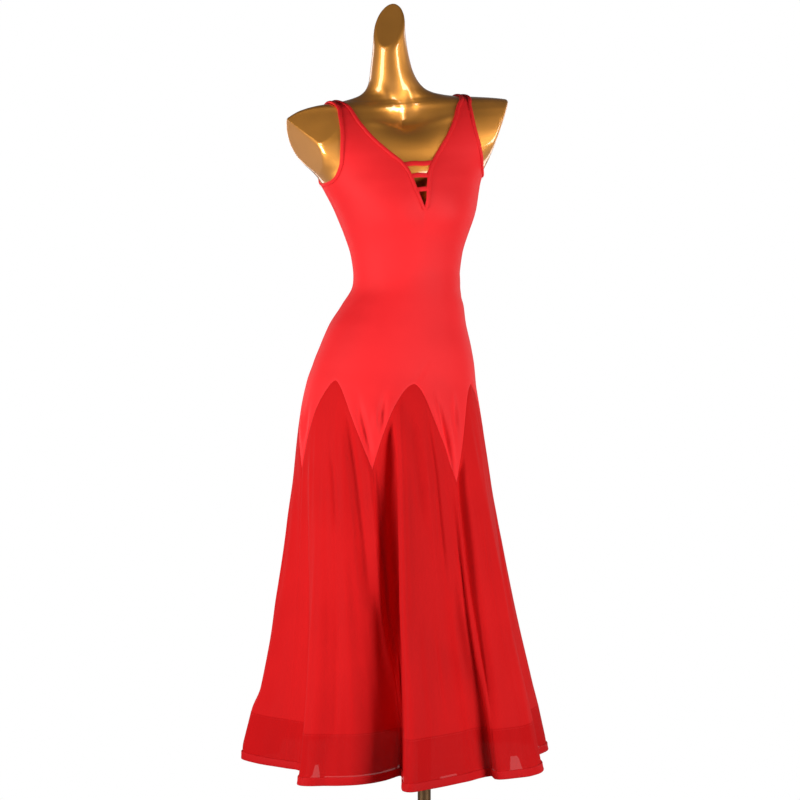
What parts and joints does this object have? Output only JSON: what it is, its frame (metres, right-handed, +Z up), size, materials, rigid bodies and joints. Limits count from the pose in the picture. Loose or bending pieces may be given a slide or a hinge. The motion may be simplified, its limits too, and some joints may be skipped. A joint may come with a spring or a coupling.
{
  "type": "ballroom dance dress on a limbless dress form with a stand",
  "caption": "Sleeveless ballroom dance dress with a V neckline, cross straps and a flared godet skirt, worn by a headless, limbless dress form on a pole stand with a round base.",
  "frame": {"origin": "centre of the stand base's underside, on the floor", "axes": "+Z up along the pole; the dress faces -Y; +X is the wearer's left"},
  "size_m": [0.5787, 0.5572, 1.5802],
  "materials": {
    "jersey": "matte",
    "chiffon": "matte",
    "gold_lacquer": "gloss",
    "bronze_paint": "satin"
  },
  "bodies": {
    "root": {"bodice_front": "jersey", "bodice_back": "jersey", "cross_strap_1": "jersey", "cross_strap_2": "jersey", "cross_strap_3": "jersey", "neck_binding_front": "jersey", "neck_binding_back": "jersey", "armhole_binding_left": "jersey", "armhole_binding_right": "jersey", "godet_1": "chiffon", "godet_2": "chiffon", "godet_3": "chiffon", "godet_4": "chiffon", "godet_5": "chiffon", "godet_6": "chiffon", "hem_band_1": "chiffon", "hem_band_2": "chiffon", "hem_band_3": "chiffon", "hem_band_4": "chiffon", "hem_band_5": "chiffon", "hem_band_6": "chiffon", "hem_tape": "chiffon", "dress_form": "gold_lacquer", "stand_base": "bronze_paint", "stand_pole": "bronze_paint", "stand_socket": "bronze_paint"}
  },
  "joints": []
}
